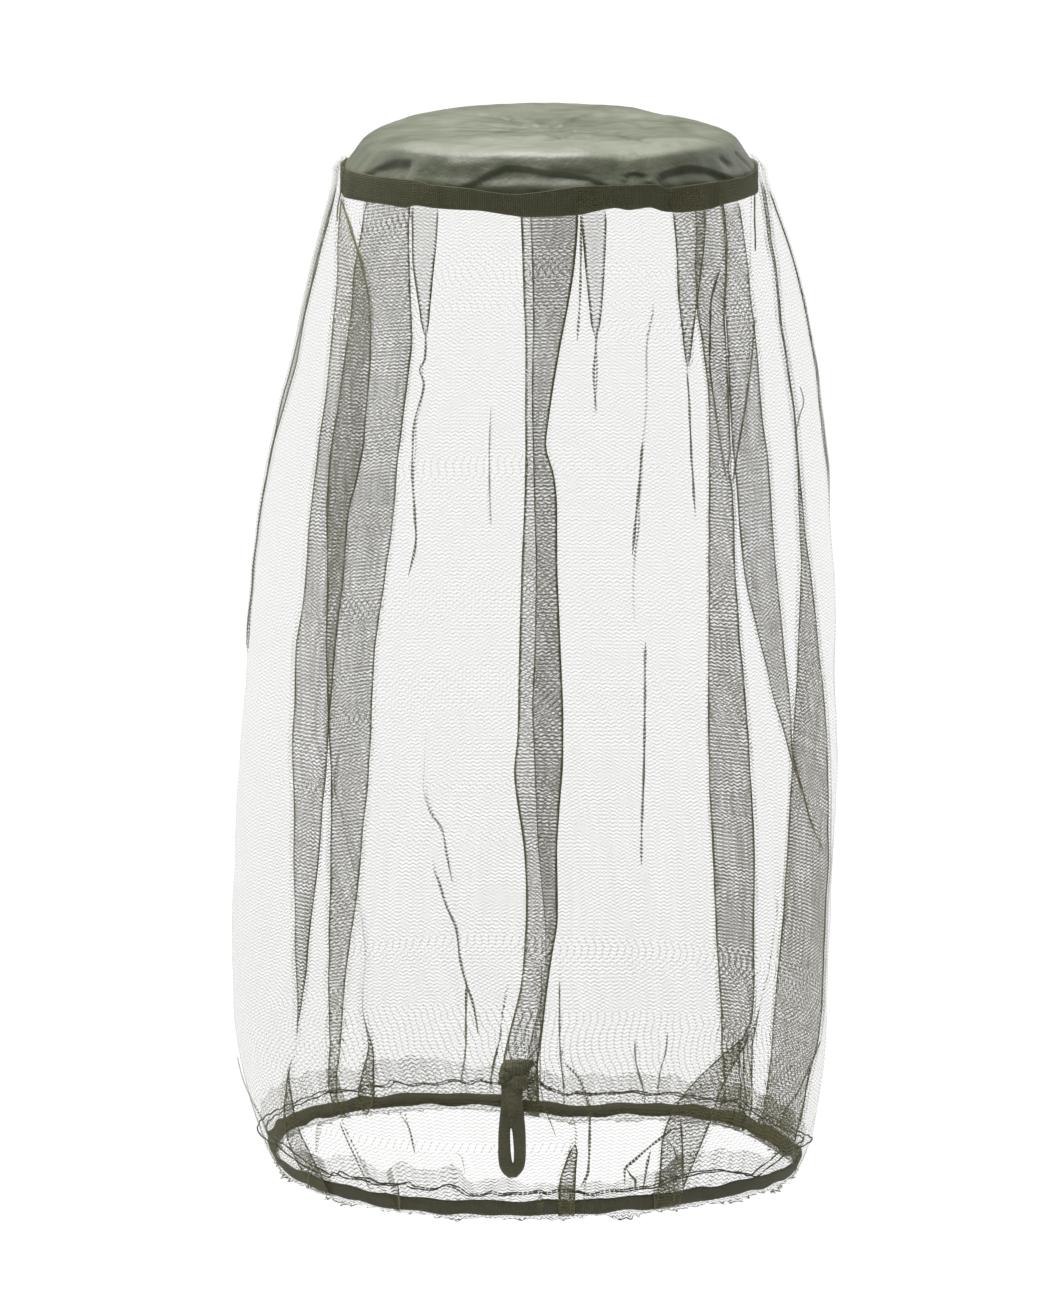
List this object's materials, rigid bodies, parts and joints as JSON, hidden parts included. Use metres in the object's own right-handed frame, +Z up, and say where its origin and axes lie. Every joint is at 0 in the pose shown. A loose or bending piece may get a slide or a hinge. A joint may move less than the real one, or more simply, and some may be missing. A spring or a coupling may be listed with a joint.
{
  "type": "mosquito head net",
  "caption": "Pull-on insect head net: flat-topped fabric crown, woven band, folded sheer net to the shoulders, elastic hem and a tape loop.",
  "frame": {"origin": "under the middle of the crown, where a hat or a head carries the net", "axes": "+Z up out of the crown; -Y is the front that the wearer looks through; the loop hangs at the back, +Y"},
  "size_m": [0.3027, 0.3035, 0.5621],
  "materials": {
    "crown_cloth": "olive plain-woven polyester, faint sheen",
    "band_webbing": "dark olive woven binding, matt",
    "net": "olive hexagonal tulle, sheer",
    "elastic_tape": "dark olive woven elastic, matt",
    "loop_tape": "dark olive woven tape, matt"
  },
  "bodies": {
    "root": {"crown_panel": "crown_cloth", "crown_band": "band_webbing", "net_body": "net", "hem_elastic": "elastic_tape", "tape_loop": "loop_tape"}
  },
  "joints": []
}
